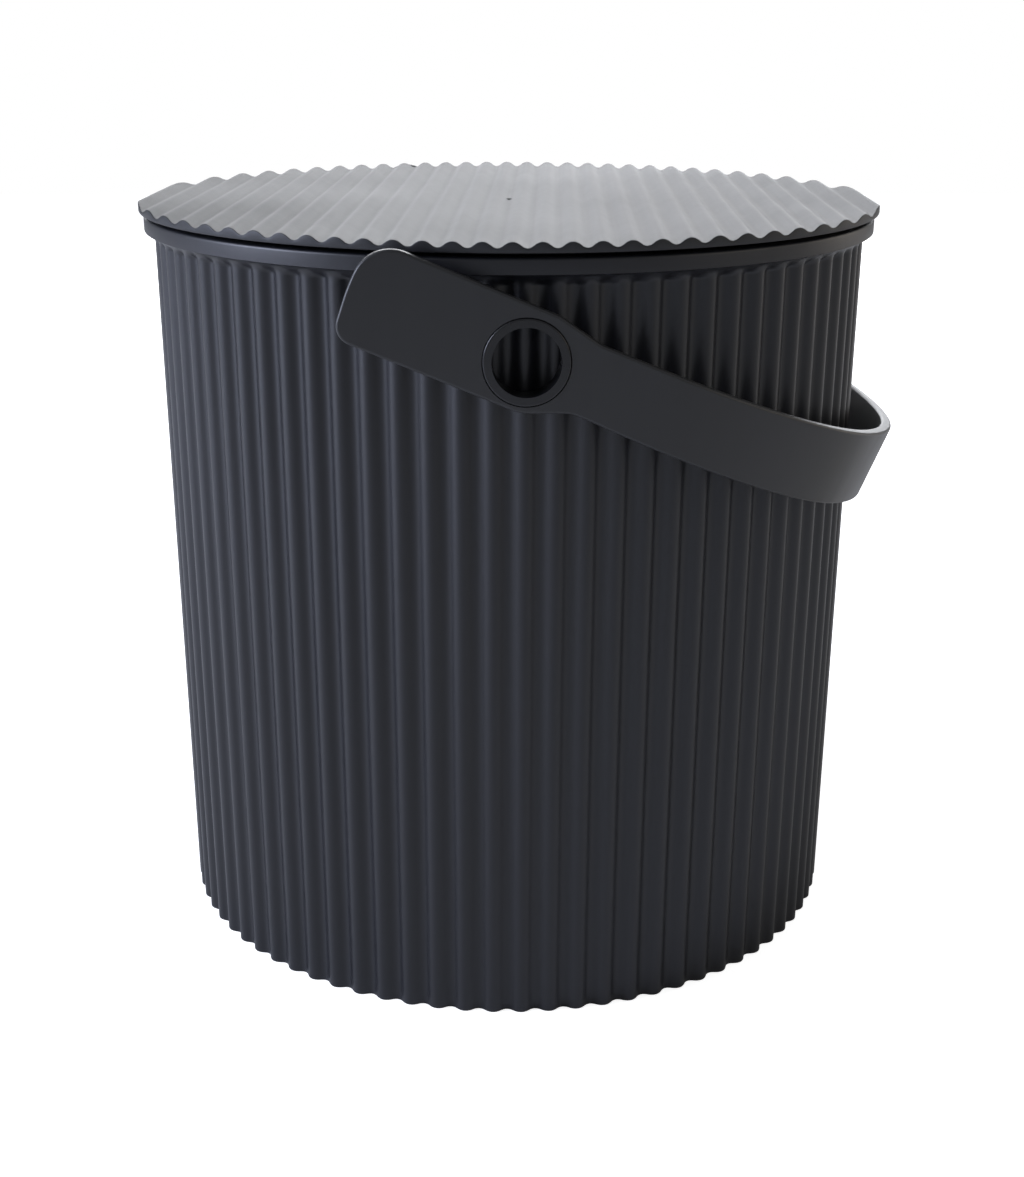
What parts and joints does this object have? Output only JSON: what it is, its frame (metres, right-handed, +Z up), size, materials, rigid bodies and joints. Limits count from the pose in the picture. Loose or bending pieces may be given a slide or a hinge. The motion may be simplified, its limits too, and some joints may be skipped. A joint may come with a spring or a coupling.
{
  "type": "lidded ribbed bucket",
  "caption": "Round plastic bucket with vertical ribs, a loose corrugated lid and a wide strap handle that swings on two hollow snap-in pivots.",
  "frame": {"origin": "middle of the bucket's flat foot, on the surface it stands on", "axes": "+Z up along the bucket's axis; Y along the handle's pivot axis; the handle hangs on the +X side at rest"},
  "size_m": [0.3245, 0.3282, 0.3137],
  "materials": {
    "bucket_plastic": "fine matte moulded polypropylene",
    "lid_plastic": "fine matte moulded polypropylene",
    "handle_plastic": "satin matte moulded polypropylene",
    "eyelet_plastic": "satin moulded polypropylene"
  },
  "bodies": {
    "tub": {"bucket": "bucket_plastic", "pivot_eyelet_front": "eyelet_plastic", "pivot_eyelet_back": "eyelet_plastic"},
    "lid": {"lid": "lid_plastic"},
    "handle": {"handle": "handle_plastic"}
  },
  "joints": [
    {"name": "handle_swing", "type": "hinge", "parent": "tub", "child": "handle", "pos_m": [0, 0, 0.2726], "axis": [0, -1, 0], "range_deg": [0, 225]},
    {"name": "lid_lift", "type": "slide", "parent": "tub", "child": "lid", "axis": [0, 0, 1], "range_m": [0, 0.18]}
  ]
}
